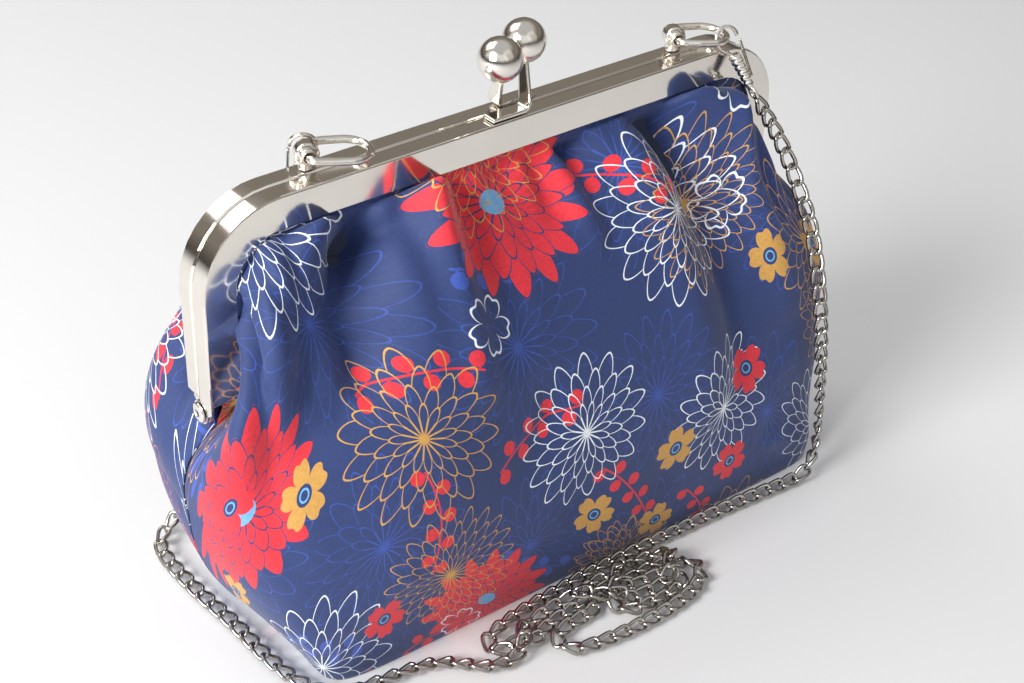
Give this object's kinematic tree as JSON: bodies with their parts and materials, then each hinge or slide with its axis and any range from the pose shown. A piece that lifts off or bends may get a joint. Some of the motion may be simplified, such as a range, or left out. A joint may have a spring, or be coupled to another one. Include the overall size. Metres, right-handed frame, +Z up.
{
  "type": "kiss-lock frame purse",
  "caption": "Gathered cotton purse hung in a hinged metal frame with a two-ball clasp, strap rings and a clipped-on chain strap, standing on its flat base.",
  "frame": {"origin": "middle of the bag's footprint, on the surface it stands on", "axes": "+X to the right along the clasp frame as seen from the front, +Y from the front panel to the rear one, +Z up"},
  "size_m": [0.2274, 0.1289, 0.1763],
  "materials": {
    "nickel": "polished nickel plate",
    "chain_nickel": "polished nickel plate, darker between the links",
    "navy_cotton": "printed plain-weave cotton, slight sheen",
    "lining_cotton": "plain dark cotton",
    "paper_cord": "twisted paper"
  },
  "bodies": {
    "bag": {"rear_frame": "nickel", "rear_paper_cord": "paper_cord", "rear_clasp_arm": "nickel", "rear_clasp_ball": "nickel", "hinge_rivet_left": "nickel", "hinge_rivet_right": "nickel", "ring_lug_left": "nickel", "ring_lug_right": "nickel", "front_panel": "navy_cotton", "rear_panel": "navy_cotton", "front_lining": "lining_cotton", "rear_lining": "lining_cotton", "chain_front": "chain_nickel", "chain_left": "chain_nickel", "chain_rear": "chain_nickel", "chain_heap": "chain_nickel"},
    "front_half": {"front_frame": "nickel", "front_paper_cord": "paper_cord", "front_clasp_arm": "nickel", "front_clasp_ball": "nickel"},
    "ring_left": {"strap_ring_left": "nickel", "clip_left": "nickel"},
    "gate_left": {"clip_gate_left": "nickel"},
    "ring_right": {"strap_ring_right": "nickel", "clip_right": "nickel"},
    "gate_right": {"clip_gate_right": "nickel"}
  },
  "joints": [
    {"name": "frame_hinge", "type": "hinge", "parent": "bag", "child": "front_half", "pos_m": [-0.00524, 0, 0.0913], "axis": [1, 0, 0], "range_deg": [0, 60], "deforming": ["front_panel", "front_lining", "rear_panel", "rear_lining", "chain_front", "clip_right", "clip_gate_right"]},
    {"name": "ring_left_hinge", "type": "hinge", "parent": "bag", "child": "ring_left", "pos_m": [-0.07044, 0.00272, 0.1569], "axis": [0.342, 0.9397, 0], "range_deg": [-105, 2], "deforming": ["chain_rear", "clip_left", "clip_gate_left"]},
    {"name": "ring_right_hinge", "type": "hinge", "parent": "bag", "child": "ring_right", "pos_m": [0.05996, 0.00272, 0.1569], "axis": [0.342, 0.9397, 0], "range_deg": [-105, 2], "deforming": ["chain_front"]},
    {"name": "clip_gate_left_hinge", "type": "hinge", "parent": "ring_left", "child": "gate_left", "pos_m": [-0.07035, 0.01272, 0.14398], "axis": [0.4834, 0.8128, 0.325], "range_deg": [0, 10], "stiffness_Nm_per_rad": 0.001},
    {"name": "clip_gate_right_hinge", "type": "hinge", "parent": "ring_right", "child": "gate_right", "pos_m": [0.07956, -0.01295, 0.14459], "axis": [-0.3223, -0.8768, 0.3567], "range_deg": [0, 10], "stiffness_Nm_per_rad": 0.001}
  ]
}
